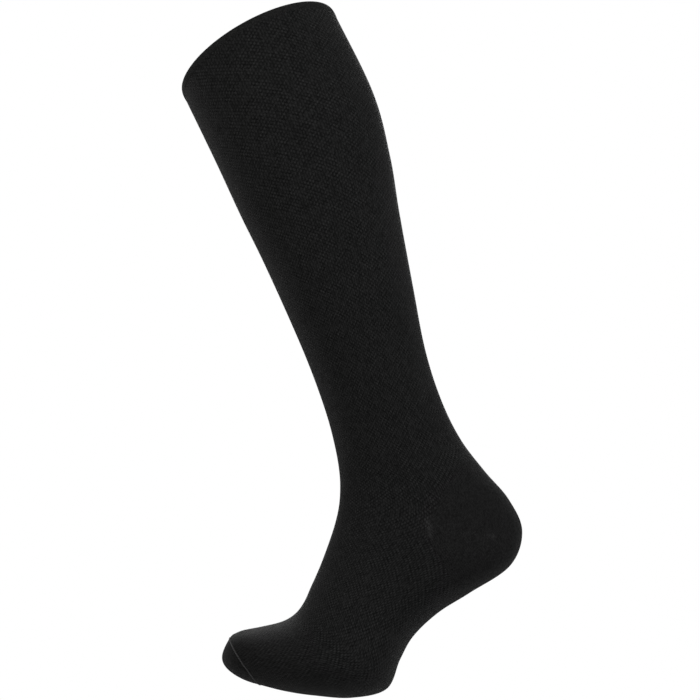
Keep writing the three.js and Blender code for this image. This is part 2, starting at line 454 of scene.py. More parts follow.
def tube_shell(name: str, form: StockingForm, grid: KnitGrid, capped: bool = False) -> bpy.types.Object:
    """A closed thin shell all round the tube, from a grid whose last column is the first one again.

    The outer skin lies on the form, and the inner one is moved in by the thickness along the normals.

    Args:
        name: Name of the piece.
        form: The outer form.
        grid: The stretch of the tube.
        capped: Whether the last row closes in a pole at the tip of the toe, instead of a rim.

    Returns:
        The piece.
    """
    station, angle = grid.station[:, :-1], grid.angle[:, :-1]
    rows, columns = station.shape
    skin = form.points(station, angle)
    lining = skin - form.normals(station, angle) * grid.thickness
    points = [skin.reshape(-1, 3), lining.reshape(-1, 3)]
    under = rows * columns
    uv = grid.uv()
    face = grid_corners(rows, columns, True)
    spots = quads_of(uv)
    blocks = [
        FaceBlock(face, spots, Skin.FACE),
        FaceBlock(under + face[:, ::-1], spots[:, ::-1], Skin.INSIDE),
    ]
    top = np.arange(columns)
    blocks.append(rim_between(top, under + top, uv[0], True))
    bottom = (rows - 1) * columns + top[::-1]
    if not capped:
        blocks.append(rim_between(bottom, under + bottom, uv[-1, ::-1], True))
        return mesh_object(name, np.concatenate(points), blocks)

    tip = form.points(form.tip, 0.0)
    back = skin[-1].mean(axis=0) - tip
    points.append(np.stack([tip, tip + back * grid.thickness / np.linalg.norm(back)]))
    last = (rows - 1) * columns + top
    following = np.roll(last, -1)
    pole = np.full(columns, 2 * under)
    edge_uv = np.stack([uv[-1, :-1], uv[-1, 1:], (uv[-1, :-1] + uv[-1, 1:]) / 2], axis=1)
    blocks.append(FaceBlock(np.stack([last, following, pole], axis=1), edge_uv, Skin.FACE))
    lined = np.stack([under + following, under + last, pole + 1], axis=1)
    blocks.append(FaceBlock(lined, edge_uv[:, [1, 0, 2]], Skin.INSIDE))
    return mesh_object(name, np.concatenate(points), blocks)


def patch_shell(name: str, form: StockingForm, grid: KnitGrid) -> bpy.types.Object:
    """A closed thin shell that lies on part of the form and has a rim on all four sides.

    Args:
        name: Name of the piece.
        form: The outer form.
        grid: The patch.

    Returns:
        The piece.
    """
    rows, columns = grid.station.shape
    skin = form.points(grid.station, grid.angle)
    lining = skin - form.normals(grid.station, grid.angle) * grid.thickness
    under = rows * columns
    uv = grid.uv()
    face = grid_corners(rows, columns, False)
    spots = quads_of(uv)
    numbers = np.arange(under).reshape(rows, columns)
    edge = np.concatenate([numbers[0, :-1], numbers[:-1, -1], numbers[-1, :0:-1], numbers[:0:-1, 0]])
    edge_uv = uv.reshape(-1, 2)[np.append(edge, edge[0])]
    blocks = [
        FaceBlock(face, spots, Skin.FACE),
        FaceBlock(under + face[:, ::-1], spots[:, ::-1], Skin.INSIDE),
        rim_between(edge, under + edge, edge_uv, True),
    ]
    return mesh_object(name, np.concatenate([skin.reshape(-1, 3), lining.reshape(-1, 3)]), blocks)


class NodeBoard:
    """Adds shader nodes to a tree and links them, so that a pattern reads as a formula."""

    def __init__(self, tree: bpy.types.NodeTree) -> None:
        """Works on one node tree."""
        self.tree = tree

    def add(self, kind: str, **settings: object) -> bpy.types.Node:
        """Adds a node of a kind and sets its named properties."""
        node = self.tree.nodes.new(kind)
        for name, value in settings.items():
            setattr(node, name, value)
        return node

    def feed(self, socket: bpy.types.NodeSocket, value: object) -> None:
        """Links a socket to another one, or gives it a plain value."""
        if isinstance(value, bpy.types.NodeSocket):
            self.tree.links.new(value, socket)
        else:
            socket.default_value = value

    def math(self, operation: str, *values: object) -> bpy.types.NodeSocket:
        """A Math node on up to three sockets or numbers."""
        node = self.add("ShaderNodeMath", operation=operation)
        for socket, value in zip(node.inputs, values):
            self.feed(socket, value)
        return node.outputs[0]

    def spread(
        self, value: bpy.types.NodeSocket, low: float, high: float, to_low: float, to_high: float
    ) -> bpy.types.NodeSocket:
        """A Map Range node that moves values from one range to another and holds them inside it."""
        node = self.add("ShaderNodeMapRange")
        self.feed(node.inputs["Value"], value)
        node.inputs["From Min"].default_value = low
        node.inputs["From Max"].default_value = high
        node.inputs["To Min"].default_value = to_low
        node.inputs["To Max"].default_value = to_high
        return node.outputs["Result"]

    def noise(
        self, vector: bpy.types.NodeSocket, scale: float, detail: float, roughness: float = 0.5
    ) -> bpy.types.NodeSocket:
        """A Noise Texture's value at a vector."""
        node = self.add("ShaderNodeTexNoise")
        self.feed(node.inputs["Vector"], vector)
        node.inputs["Scale"].default_value = scale
        node.inputs["Detail"].default_value = detail
        node.inputs["Roughness"].default_value = roughness
        return node.outputs["Fac"]


@dataclass(frozen=True)
class KnitStitches:
    """The knit pattern: two yarn legs to a stitch, stitches in ribs, and a mask for painted shade between
    ribs.

    A rib is one unit of the UV map's first number and a course one of its second. The streaks of tone and
    the patches of laid-in yarn have their scales in these units.
    """

    name: str = "knit stitches"
    groove_power: float = 4.0
    streak_scale: Point = (0.9, 0.16)
    patch_scale: float = 0.22
    patch_range: Point = (0.38, 0.62)
    least_inlay: float = 0.25

    def group(self) -> bpy.types.NodeTree:
        """Builds the node group once.

        Across a rib the distance from its middle runs from 0 to 1. The rib's crown is one less its square,
        each yarn leg is a sine hump, and the stitches lean along the leg, so that the two legs make a V.

        Returns:
            The group, with Height, Stitch, Streak, Groove and Inlay as its outputs.
        """
        tree = bpy.data.node_groups.get(self.name)
        if tree:
            return tree
        tree = bpy.data.node_groups.new(self.name, "ShaderNodeTree")
        for label in ("Rib", "Stitch", "Lean", "Purl"):
            tree.interface.new_socket(label, in_out="INPUT", socket_type="NodeSocketFloat")
        tree.interface.new_socket("Place", in_out="INPUT", socket_type="NodeSocketVector")
        for label in ("Height", "Stitch", "Streak", "Groove", "Inlay"):
            tree.interface.new_socket(label, in_out="OUTPUT", socket_type="NodeSocketFloat")
        board = NodeBoard(tree)
        given = board.add("NodeGroupInput")
        result = board.add("NodeGroupOutput")
        split = board.add("ShaderNodeSeparateXYZ")
        board.feed(split.inputs[0], given.outputs["Place"])
        ribs, courses = split.outputs[0], split.outputs[1]

        across = board.math("FRACT", ribs)
        away = board.math("MULTIPLY", board.math("ABSOLUTE", board.math("SUBTRACT", across, 0.5)), 2.0)
        crown = board.math("SUBTRACT", 1.0, board.math("MULTIPLY", away, away))
        leg = board.math("SINE", board.math("MULTIPLY", away, math.pi))
        leaning = board.math("MULTIPLY_ADD", away, given.outputs["Lean"], courses)
        phase = board.math("FRACT", leaning)
        hump = board.math("SINE", board.math("MULTIPLY", phase, math.pi))
        loops = board.math("MULTIPLY", leg, hump)

        # On the inside each course shows as a row of purl bumps that bridge the ribs.
        bar = board.math("ABSOLUTE", board.math("SINE", board.math("MULTIPLY", courses, math.pi)))
        over = board.math("SINE", board.math("MULTIPLY", across, math.pi))
        arch = board.math("MULTIPLY_ADD", over, 0.5, 0.5)
        purl = board.math("MULTIPLY", bar, arch)

        ribbed = board.math("MULTIPLY", crown, given.outputs["Rib"])
        knit = board.math("MULTIPLY_ADD", loops, given.outputs["Stitch"], ribbed)
        swap = board.add("ShaderNodeMix", data_type="FLOAT")
        board.feed(swap.inputs["Factor"], given.outputs["Purl"])
        board.feed(swap.inputs["A"], knit)
        board.feed(swap.inputs["B"], purl)
        board.feed(result.inputs["Height"], swap.outputs["Result"])

        # One random tone for each yarn leg, and slow streaks of tone that run along the ribs.
        side = board.math("FLOOR", board.math("MULTIPLY", ribs, 2.0))
        cell = board.add("ShaderNodeCombineXYZ")
        board.feed(cell.inputs[0], side)
        board.feed(cell.inputs[1], board.math("FLOOR", leaning))
        random = board.add("ShaderNodeTexWhiteNoise", noise_dimensions="2D")
        board.feed(random.inputs["Vector"], cell.outputs[0])
        board.feed(result.inputs["Stitch"], random.outputs["Value"])
        stretched = board.add("ShaderNodeCombineXYZ")
        board.feed(stretched.inputs[0], board.math("MULTIPLY", ribs, self.streak_scale[0]))
        board.feed(stretched.inputs[1], board.math("MULTIPLY", courses, self.streak_scale[1]))
        board.feed(result.inputs["Streak"], board.noise(stretched.outputs[0], 1.0, 2.0, 0.6))
        # Groove is 1 in the hollow between two ribs: the mask for the painted shade there.
        board.feed(result.inputs["Groove"], board.math("POWER", away, self.groove_power))

        # The laid-in elastic yarn is caught by every second rib, staggered from course to course, and it
        # shows more in some patches than in others.
        caught = board.math("SINE", board.math("MULTIPLY", ribs, math.pi))
        stagger = board.math("SINE", board.math("MULTIPLY", courses, math.pi))
        patches = board.noise(given.outputs["Place"], self.patch_scale, 2.0)
        evident = board.spread(patches, *self.patch_range, self.least_inlay, 1.0)
        dots = board.math("MULTIPLY", caught, stagger)
        board.feed(result.inputs["Inlay"], board.math("MULTIPLY", dots, evident))
        return tree


@dataclass(frozen=True)
class StretchSpot:
    """A lens of pulled-open, lighter stitches, on both sides of the heel.

    lean is how far the lens moves back for each metre down, and gain how much lighter its middle is.
    """

    centre: Point
    half_width: float
    half_height: float
    lean: float
    gain: float

    def lighten(
        self, board: NodeBoard, x: bpy.types.NodeSocket, z: bpy.types.NodeSocket
    ) -> bpy.types.NodeSocket:
        """A bell curve of the distance from the centre, seen from the side, times the gain."""
        down = board.math("SUBTRACT", z, self.centre[1])
        along = board.math("MULTIPLY_ADD", down, self.lean, board.math("SUBTRACT", x, self.centre[0]))
        wide = board.math("DIVIDE", along, self.half_width)
        high = board.math("DIVIDE", down, self.half_height)
        far = board.math("MULTIPLY_ADD", wide, wide, board.math("MULTIPLY", high, high))
        bell = board.math("EXPONENT", board.math("MULTIPLY", far, -1.0))
        return board.math("MULTIPLY", bell, self.gain)


@dataclass(frozen=True)
class StretchedStitches:
    """All the lenses of stretched stitches: one at the gore corner and two along the gore line."""

    name: str = "stretched stitches"
    spots: tuple[StretchSpot, ...] = (
        StretchSpot((0.1242, -0.3660), 0.0021, 0.0070, 0.19, 1.0),
        StretchSpot((0.1520, -0.3697), 0.0036, 0.0010, 0.0, 0.3),
        StretchSpot((0.1680, -0.3712), 0.0034, 0.0016, 0.0, 0.75),
    )

    def group(self) -> bpy.types.NodeTree:
        """Builds the node group once. Its output adds up the lenses."""
        tree = bpy.data.node_groups.get(self.name)
        if tree:
            return tree
        tree = bpy.data.node_groups.new(self.name, "ShaderNodeTree")
        tree.interface.new_socket("Place", in_out="INPUT", socket_type="NodeSocketVector")
        tree.interface.new_socket("Stretch", in_out="OUTPUT", socket_type="NodeSocketFloat")
        board = NodeBoard(tree)
        given = board.add("NodeGroupInput")
        result = board.add("NodeGroupOutput")
        split = board.add("ShaderNodeSeparateXYZ")
        board.feed(split.inputs[0], given.outputs["Place"])
        total = 0.0
        for spot in self.spots:
            total = board.math("ADD", total, spot.lighten(board, split.outputs[0], split.outputs[2]))
        board.feed(result.inputs["Stretch"], total)
        return tree


@dataclass(frozen=True)
class KnitFinish:
    """Matte charcoal knit: its tone, its stitches and its soft sheen.

    rib, stitch and lean shape the stitches, finer tells how many ribs of it lie in one of the leg's, and
    relief is the height of the stitches in metres. grain, streak and inlay are the shares by which the tone
    varies from stitch to stitch, along the ribs and with the laid-in yarn, and haze the share by which the
    yarn's loose hairs vary it. The share for the hollows between the ribs darkens them as painted shade.
    """

    name: str
    tone: Colour
    rib: float
    stitch: float
    lean: float
    purl: float
    finer: float
    relief: float
    grain: float
    streak: float
    groove_shade: float
    inlay: float
    sheen: float
    sheen_roughness: float = 0.09
    roughness: float = 0.9
    specular: float = 0.03
    haze: float = 0.25

    def material(self) -> bpy.types.Material:
        """Builds the material once, with its pattern on the UV map of ribs and courses."""
        material = bpy.data.materials.get(self.name)
        if material:
            return material
        material = bpy.data.materials.new(self.name)
        material.use_nodes = True
        material.diffuse_color = (*self.tone, 1.0)
        board = NodeBoard(material.node_tree)
        shader = material.node_tree.nodes["Principled BSDF"]
        shader.inputs["Specular IOR Level"].default_value = self.specular
        shader.inputs["Sheen Weight"].default_value = self.sheen
        shader.inputs["Sheen Roughness"].default_value = self.sheen_roughness
        places = board.add("ShaderNodeTexCoord")
        fuzz = board.noise(places.outputs["Object"], 1400.0, 2.0, 0.7)
        knit = self._stitches(board)

        colour = board.add("ShaderNodeVectorMath", operation="SCALE")
        colour.inputs[0].default_value = self.tone
        board.feed(colour.inputs["Scale"], self._lightness(board, knit, places.outputs["Object"], fuzz))
        board.feed(shader.inputs["Base Color"], colour.outputs["Vector"])
        rough = board.spread(fuzz, 0.2, 0.8, self.roughness - 0.06, self.roughness + 0.06)
        board.feed(shader.inputs["Roughness"], rough)

        bump = board.add("ShaderNodeBump")
        bump.inputs["Distance"].default_value = self.relief
        board.feed(bump.inputs["Height"], board.math("MULTIPLY_ADD", fuzz, self.haze, knit.outputs["Height"]))
        board.feed(shader.inputs["Normal"], bump.outputs["Normal"])
        return material

    def _stitches(self, board: NodeBoard) -> bpy.types.Node:
        """Places the knit pattern with this finish's own values, on the UV map made finer."""
        uv = board.add("ShaderNodeUVMap", uv_map="knit")
        scaled = board.add("ShaderNodeMapping")
        scaled.inputs["Scale"].default_value = (self.finer, self.finer, 1.0)
        board.feed(scaled.inputs["Vector"], uv.outputs["UV"])
        knit = board.add("ShaderNodeGroup", node_tree=KnitStitches().group())
        knit.inputs["Rib"].default_value = self.rib
        knit.inputs["Stitch"].default_value = self.stitch
        knit.inputs["Lean"].default_value = self.lean
        knit.inputs["Purl"].default_value = self.purl
        board.feed(knit.inputs["Place"], scaled.outputs["Vector"])
        return knit

    def _lightness(
        self,
        board: NodeBoard,
        knit: bpy.types.Node,
        place: bpy.types.NodeSocket,
        fuzz: bpy.types.NodeSocket,
    ) -> bpy.types.NodeSocket:
        """How light the yarn is, up or down from one by each effect, painted shade between the ribs among
        them.

        Args:
            board: The material's board.
            knit: The knit pattern.
            place: Object coordinates.
            fuzz: The noise of the loose hairs.

        Returns:
            The factor by which the tone is scaled.
        """
        clouds = board.noise(place, 24.0, 3.0)
        light = board.spread(clouds, 0.3, 0.7, 0.93, 1.07)
        stitch, streak = knit.outputs["Stitch"], knit.outputs["Streak"]
        for value, share in ((stitch, self.grain), (streak, self.streak), (fuzz, self.haze)):
            light = board.math("MULTIPLY", light, board.math("MULTIPLY_ADD", value, 2 * share, 1.0 - share))
        # Painted shade: the hollows between the ribs are made darker. The laid-in yarn shows lighter.
        for value, share in ((knit.outputs["Groove"], -self.groove_shade), (knit.outputs["Inlay"], self.inlay)):
            light = board.math("MULTIPLY", light, board.math("MULTIPLY_ADD", value, share, 1.0))
        spot = board.add("ShaderNodeGroup", node_tree=StretchedStitches().group())
        board.feed(spot.inputs["Place"], place)
        return board.math("MULTIPLY", light, board.math("ADD", spot.outputs["Stretch"], 1.0))


# In each knit finish, the hollows between the ribs are darkened by painted shade.
RIBBED_KNIT = KnitFinish(
    name="ribbed_knit",
    tone=(0.0077, 0.0077, 0.0077),
    rib=0.55,
    stitch=0.45,
    lean=0.7,
    purl=0.0,
    finer=1.0,
    relief=0.0004,
    grain=0.42,
    streak=0.15,
    groove_shade=0.45,
    inlay=0.65,
    sheen=0.042,
)
PLAIN_KNIT = KnitFinish(
    name="plain_knit",
    tone=(0.0072, 0.0072, 0.0072),
    rib=0.2,
    stitch=0.5,
    lean=0.7,
    purl=0.0,
    finer=2.0,
    relief=0.00022,
    grain=0.6,
    streak=0.15,
    groove_shade=0.35,
    inlay=0.5,
    sheen=0.045,
)
EDGE_KNIT = KnitFinish(
    name="turned_edge_knit",
    tone=(0.0083, 0.0083, 0.0082),
    rib=0.15,
    stitch=0.5,
    lean=0.7,
    purl=0.0,
    finer=2.0,
    relief=0.0002,
    grain=0.5,
    streak=0.15,
    groove_shade=0.3,
    inlay=0.5,
    sheen=0.03,
)
INSIDE_KNIT = KnitFinish(
    name="inside_knit",
    tone=(0.0090, 0.0089, 0.0088),
    rib=0.2,
    stitch=0.3,
    lean=0.0,
    purl=1.0,
    finer=1.0,
    relief=0.0006,
    grain=0.2,
    streak=0.2,
    groove_shade=0.15,
    inlay=0.3,
    sheen=0.03,
)


@dataclass(frozen=True)
class ThreadFinish:
    """A thread: smoother than the knit, with a fine twist, and painted shade in the twist's hollows."""

    name: str
    tone: Colour
    sheen: float
    specular: float

    def material(self) -> bpy.types.Material:
        """Builds the material once. Its UV map runs round and along each stitch."""
        material = bpy.data.materials.get(self.name)
        if material:
            return material
        material = bpy.data.materials.new(self.name)
        material.use_nodes = True
        material.diffuse_color = (*self.tone, 1.0)
        board = NodeBoard(material.node_tree)
        shader = material.node_tree.nodes["Principled BSDF"]
        shader.inputs["Specular IOR Level"].default_value = self.specular
        shader.inputs["Sheen Weight"].default_value = self.sheen
        uv = board.add("ShaderNodeUVMap", uv_map="knit")
        split = board.add("ShaderNodeSeparateXYZ")
        board.feed(split.inputs[0], uv.outputs["UV"])
        turn = board.math("MULTIPLY_ADD", split.outputs[1], 3.0, split.outputs[0])
        twist = board.math("ABSOLUTE", board.math("SINE", board.math("MULTIPLY", turn, 2 * math.pi)))
        # The tone is scaled down in the hollows of the twist and up on its crests: painted shade and
        # highlight.
        colour = board.add("ShaderNodeVectorMath", operation="SCALE")
        colour.inputs[0].default_value = self.tone
        board.feed(colour.inputs["Scale"], board.math("MULTIPLY_ADD", twist, 0.4, 0.75))
        board.feed(shader.inputs["Base Color"], colour.outputs["Vector"])
        board.feed(shader.inputs["Roughness"], board.math("MULTIPLY_ADD", twist, -0.15, 0.8))
        bump = board.add("ShaderNodeBump")
        bump.inputs["Distance"].default_value = 0.00012
        board.feed(bump.inputs["Height"], twist)
        board.feed(shader.inputs["Normal"], bump.outputs["Normal"])
        return material


LINKING_THREAD = ThreadFinish("linking_thread", (0.023, 0.023, 0.023), sheen=0.06, specular=0.15)
GORE_YARN = ThreadFinish("gore_yarn", (0.0082, 0.0082, 0.0082), sheen=0.02, specular=0.03)


@dataclass(frozen=True)
class FlatCut:
    """The relaxed size of a knitted piece before it is stretched over the leg: width, length and area."""

    width: float
    length: float
    area: float


def dress(
    piece: bpy.types.Object,
    face: KnitFinish,
    node: str,
) -> None:
    """Gives a knitted piece its finishes, attaches it to the root body and hides the CAD node that it stands
    for.

    Args:
        piece: The shell.
        face: The finish of its outer skin.
        node: The CAD node that it stands for.
    """
    piece.data.materials.append(face.material())
    piece.data.materials.append(INSIDE_KNIT.material())
    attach(piece, "root")
    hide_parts(node)
    LOG.info("%s: %d faces, replaces %s", piece.name, len(piece.data.polygons), node)


@dataclass
class TurnedTopEdge:
    """The narrow turned edge, a double layer of smooth knit folded over at the top."""

    form: StockingForm
    columns: int = 288
    cut: FlatCut = FlatCut(0.30, 0.0115, 0.00345)

    def lower_station(self, angle: np.ndarray) -> np.ndarray:
        """The station of the line under the edge, which is the top edge moved down along the shin."""
        front, back = np.array(SECTIONS[0].front), np.array(SECTIONS[0].back)
        shin = np.array(SECTIONS[1].front) - front
        down = shin / np.linalg.norm(shin) * BAND_HEIGHT
        line = SeamLine(tuple(front + down), tuple(back + down), -0.02, 0.6)
        return self.form.station_on(line, angle)

    def profile(self) -> tuple[np.ndarray, np.ndarray]:
        """The closed profile, as distance down from the top and depth in from the form.

        It starts at the crest, goes down the slightly full outer side, in under it, up the inner side and
        back over the crest on a half circle.
        """
        radius = BAND_WALL / 2
        over = np.linspace(math.pi / 2, 0, 7)
        back_over = np.linspace(math.pi, math.pi / 2, 7)[:-1]
        side = np.linspace(0, 1, 9)[1:]
        side_drop = radius + (BAND_HEIGHT - radius) * side
        outer_depth = -BAND_PROUD * np.sin(side * math.pi) ** 0.5
        inner_depth = np.full_like(side_drop, BAND_WALL)
        drops = [radius * (1 - np.sin(over)), side_drop, side_drop[::-1], radius * (1 - np.sin(back_over))]
        depths = [radius * (1 - np.cos(over)), outer_depth, inner_depth, radius * (1 - np.cos(back_over))]
        return np.concatenate(drops), np.concatenate(depths)

    def build(self) -> bpy.types.Object:
        """Sweeps the profile round the opening and dresses it."""
        angle = np.linspace(0, 2 * math.pi, self.columns + 1)
        drop, depth = self.profile()
        share = drop / BAND_HEIGHT
        station = share[:, None] * self.lower_station(angle)[None, :]
        turns = np.broadcast_to(angle, station.shape)
        skin = self.form.points(station, turns) - self.form.normals(station, turns) * depth[:, None, None]
        run = np.cumsum(np.pad(np.hypot(np.diff(drop), np.diff(depth)), (1, 0))) / COURSE
        course = np.broadcast_to(run[:, None], station.shape)
        uv = np.stack([self.form.rib_number(station, turns), course], axis=2)
        uv = np.concatenate([uv, uv[-1:] + [0, 1]], axis=0)
        numbers = np.arange(len(drop) * self.columns).reshape(len(drop), self.columns)
        wrapped = np.pad(numbers, (0, 1), mode="wrap")
        faces = FaceBlock(quads_of(wrapped), quads_of(uv), Skin.FACE)
        piece = mesh_object("turned_top_edge", skin[:, :-1].reshape(-1, 3), [faces])
        dress(piece, EDGE_KNIT, "top_band")
        return piece


@dataclass
class LegTube:
    """The ribbed tube of the leg, from the turned edge to the gore corners and the front of the ankle."""

    form: StockingForm
    edge: TurnedTopEdge
    rows: int = 110
    cut: FlatCut = FlatCut(0.30, 0.34, 0.0800)

    def build(self) -> bpy.types.Object:
        """Knits the tube down to its seams and dresses it."""
        angle = self.form.column_angles()
        top = self.edge.lower_station(angle)
        down = np.linspace(0, 1, self.rows)[:, None]
        station = top + (self.form.heel_line(angle, ANKLE_SEAM) - top) * down
        turns = np.broadcast_to(angle, station.shape)
        course = self.form.run_down(station) / COURSE
        grid = KnitGrid(station, turns, self.form.rib_number(station, turns), course, LEG_WALL)
        piece = tube_shell("leg_tube", self.form, grid)
        dress(piece, RIBBED_KNIT, "leg")
        return piece


@dataclass
class HeelPouch:
    """The turned heel: plain knit from the ankle seam to the gore line, and from there to the sole seam."""

    form: StockingForm
    rows_each: int = 40
    columns: int = 150
    inset: float = math.radians(0.35)
    cut: FlatCut = FlatCut(0.125, 0.11, 0.0105)

    def stations(self, angle: np.ndarray) -> tuple[np.ndarray, np.ndarray, np.ndarray]:
        """The stations of the ankle seam, the gore line and the sole seam on each column."""
        ankle = self.form.station_on(ANKLE_SEAM, angle)
        sole = self.form.station_on(SOLE_SEAM, angle)
        gore = self.form.station_on(GORE_LINE, angle)
        return ankle, np.clip(gore, ankle, sole), sole

    def build(self) -> bpy.types.Object:
        """Knits the two halves of the pouch as one patch and dresses it."""
        start = self.form.gore_angle + self.inset
        angle = np.linspace(start, 2 * math.pi - start, self.columns)
        ankle, gore, sole = self.stations(angle)
        share = np.linspace(0, 1, self.rows_each + 1)[:, None]
        station = np.vstack([ankle + (gore - ankle) * share[:-1], gore + (sole - gore) * share])
        turns = np.broadcast_to(angle, station.shape)
        points = self.form.points(station, turns)
        steps = np.linalg.norm(np.diff(points, axis=0), axis=2)
        run = np.pad(np.cumsum(steps, axis=0), ((1, 0), (0, 0)))
        course = (run - run[self.rows_each]) / COURSE
        grid = KnitGrid(station, turns, self.form.rib_number(station, turns), course, REINFORCED_WALL)
        piece = patch_shell("heel_pouch_knit", self.form, grid)
        dress(piece, PLAIN_KNIT, "heel_pouch")
        return piece


@dataclass
class FootTube:
    """The ribbed tube of the foot, from the gore corners to the toe seam."""

    form: StockingForm
    rows: int = 90
    cut: FlatCut = FlatCut(0.20, 0.16, 0.0250)

    def toe_seam_station(self, angle: np.ndarray) -> np.ndarray:
        """The toe seam's station: a straight line seen from the side, bowed ahead by the sine squared."""
        return self.form.station_on(TOE_LINE, angle) + TOE_SEAM_BOW * np.sin(angle) ** 2

    def build(self) -> bpy.types.Object:
        """Knits the tube from the heel to the toe seam and dresses it."""
        angle = self.form.column_angles()
        top = self.form.heel_line(angle, SOLE_SEAM)
        down = np.linspace(0, 1, self.rows)[:, None]
        station = top + (self.toe_seam_station(angle) - top) * down
        turns = np.broadcast_to(angle, station.shape)
        course = self.form.run_down(station) / COURSE
        grid = KnitGrid(station, turns, self.form.rib_number(station, turns), course, LEG_WALL)
        piece = tube_shell("foot_tube", self.form, grid)
        dress(piece, RIBBED_KNIT, "foot")
        return piece


@dataclass
class ToeCap:
    """The closed toe, plain knit that runs over the toes from the sole.

    rib_width is the width of a rib, pole_gap how many stations short of its tip the last row lies, and
    behind how far behind the seam's middle the courses turn, as a share of the cap's length.
    """

    form: StockingForm
    foot: FootTube
    trim: tuple[bpy.types.Object, ...] = ()
    rows: int = 34
    columns: int = 200
    rib_width: float = math.pi * 0.12 / RIBS_ROUND
    pole_gap: float = 0.012
    behind: float = 0.3
    cut: FlatCut = FlatCut(0.075, 0.045, 0.0026)

    def build(self) -> bpy.types.Object:
        """Knits the dome up to its pole and dresses it.

        Its ribs lie in upright planes along the foot, so a rib's number is y over the rib's width. Courses
        count the turn about a point behind the seam, as run on a circle whose radius is the cap's length.
        """
        angle = np.linspace(0, 2 * math.pi, self.columns + 1)
        start = self.foot.toe_seam_station(angle)
        share = np.linspace(0, 1, self.rows)[:, None]
        end = self.form.tip - self.pole_gap
        station = start + (end - start) * share
        turns = np.broadcast_to(angle, station.shape)
        points = self.form.points(station, turns)
        middle = np.add(SECTIONS[-1].front, SECTIONS[-1].back) / 2
        reach = self.form.points(self.form.tip, 0.0)[[0, 2]] - middle
        length = np.hypot(*reach)
        way = (points[..., [0, 2]] - middle) / length
        forward = way @ reach / length + self.behind
        upward = way @ np.array([-reach[1], reach[0]]) / length
        turn = np.arctan2(upward, forward)
        rib = points[..., 1] / self.rib_width
        grid = KnitGrid(station, turns, rib, turn * length / COURSE, REINFORCED_WALL)
        piece = tube_shell("toe_cap_knit", self.form, grid, capped=True)
        dress(piece, PLAIN_KNIT, "toe_cap")
        return piece


@dataclass
class StitchRow:
    """A row of small thread stitches that lie on the form along a path.

    Each stitch is a slim ellipsoid, and slant is its turn away from the row's direction.
    """

    form: StockingForm
    name: str
    finish: ThreadFinish
    length: float
    breadth: float
    height: float
    slant: float
    around: int = 7
    along: int = 5

    def build(self, station: np.ndarray, angle: np.ndarray, size: np.ndarray) -> bpy.types.Object:
        """Lays one stitch at each point of the path.

        A stitch's points are its centre, plus its long axis times the cosine of the polar angle, plus its
        round section times the sine.

        Args:
            station: Stations of the stitches' centres.
            angle: Their angles round the form.
            size: Their sizes as a share of the full size.

        Returns:
            The row as one object.
        """
        centre = self.form.points(station, angle)
        up = self.form.normals(station, angle)
        ahead = np.gradient(centre, axis=0)
        ahead -= up * np.sum(ahead * up, axis=1, keepdims=True)
        ahead /= np.linalg.norm(ahead, axis=1, keepdims=True)
        across = np.cross(up, ahead)
        axis = ahead * math.cos(self.slant) + across * math.sin(self.slant)
        side = np.cross(up, axis)

        polar = np.linspace(0, math.pi, self.along + 2)[1:-1, None]
        turn = np.linspace(0, 2 * math.pi, self.around, endpoint=False)[None, :]
        shape = np.stack(
            [
                np.broadcast_to(np.cos(polar) * self.length / 2, (self.along, self.around)),
                np.sin(polar) * np.cos(turn) * self.breadth / 2,
                np.sin(polar) * np.sin(turn) * self.height,
            ],
            axis=2,
        ).reshape(-1, 3)
        ends = np.array([[self.length / 2, 0, 0], [-self.length / 2, 0, 0]])
        shape = np.concatenate([shape, ends])
        frame = np.stack([axis, side, up], axis=1) * size[:, None, None]
        points = centre[:, None, :] + np.einsum("pk,nkd->npd", shape, frame)

        one = np.arange(self.along * self.around).reshape(self.along, self.around)
        wrapped = np.hstack([one, one[:, :1]])
        body = quads_of(wrapped)[:, ::-1]
        first, second = self.along * self.around, self.along * self.around + 1
        near = np.stack([wrapped[0, 1:], wrapped[0, :-1], np.full(self.around, first)], axis=1)[:, ::-1]
        far = np.stack([wrapped[-1, :-1], wrapped[-1, 1:], np.full(self.around, second)], axis=1)[:, ::-1]
        shift = (np.arange(len(centre)) * len(shape))[:, None, None]
        u, v = np.meshgrid(np.linspace(0, 1, self.around + 1), np.linspace(0.1, 0.9, self.along))
        spots = quads_of(np.stack([u, v], axis=2))[:, ::-1]
        blocks = [
            FaceBlock((body + shift).reshape(-1, 4), np.tile(spots, (len(centre), 1, 1)), Skin.FACE),
            FaceBlock((near + shift).reshape(-1, 3), np.zeros((len(centre) * self.around, 3, 2)), Skin.FACE),
            FaceBlock((far + shift).reshape(-1, 3), np.ones((len(centre) * self.around, 3, 2)), Skin.FACE),
        ]
        piece = mesh_object(self.name, points.reshape(-1, 3), blocks)
        piece.data.materials.append(self.finish.material())
        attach(piece, "root")
        LOG.info("%s: %d stitches", piece.name, len(centre))
        return piece


@dataclass(frozen=True)
class SoftLight:
    """A square area light with a place, an aim, a size, a power and a tint."""

    name: str
    place: Place
    aim: Place
    size: float
    power: float
    tint: Colour = (1.0, 1.0, 1.0)

    def build(self) -> None:
        """Adds the light and turns it to its aim."""
        data = bpy.data.lights.new(self.name, "AREA")
        data.size = self.size
        data.energy = self.power
        data.color = self.tint
        light = bpy.data.objects.new(self.name, data)
        light.location = self.place
        light.rotation_euler = (Vector(self.aim) - Vector(self.place)).to_track_quat("-Z", "Y").to_euler()
        bpy.context.scene.collection.objects.link(light)


